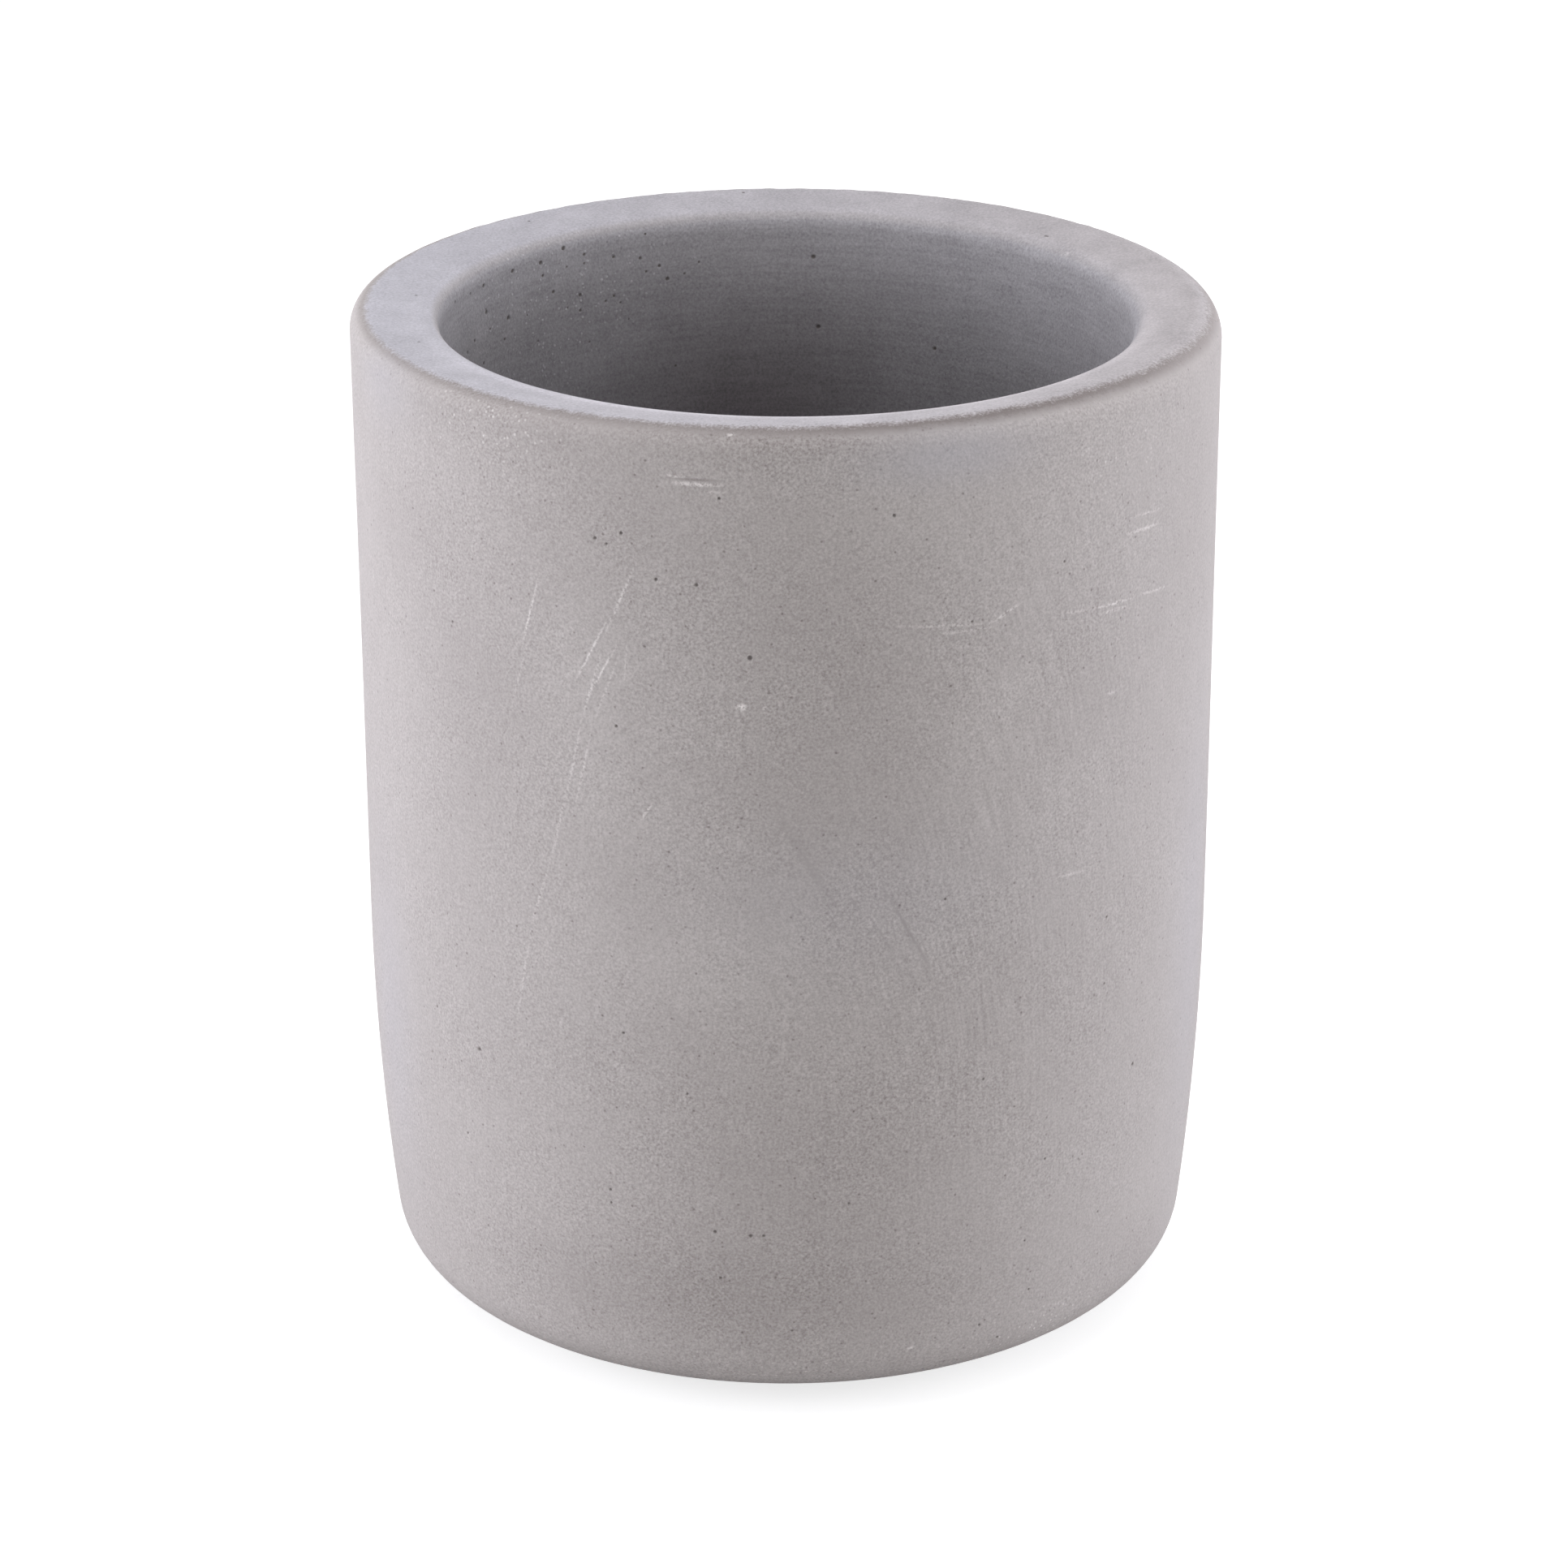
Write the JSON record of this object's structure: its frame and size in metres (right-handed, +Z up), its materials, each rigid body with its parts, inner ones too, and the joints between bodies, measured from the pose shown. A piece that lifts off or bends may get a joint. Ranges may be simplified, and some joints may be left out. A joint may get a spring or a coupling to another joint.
{
  "type": "bathroom tumbler",
  "caption": "Round thick-walled concrete tumbler with a softly rounded rim, a side that curves in at the foot and a foam pad underneath, for holding toothbrushes or rinsing.",
  "frame": {"origin": "centre of the foam pad's underside, on the surface that the tumbler stands on", "axes": "+Z up along the cup's axis; the cup is round, so X and Y are free, with -Y towards the viewer of the picture"},
  "size_m": [0.085, 0.085, 0.1016],
  "materials": {
    "cast_concrete": "matt, bare cement with fine sand grain, pinholes and light sanding marks",
    "adhesive_film": "thin translucent acrylic adhesive film",
    "eva_foam": "matt closed-cell foam, die cut"
  },
  "bodies": {
    "root": {"cast_cup": "cast_concrete", "pad_adhesive": "adhesive_film", "base_pad": "eva_foam"}
  },
  "joints": []
}
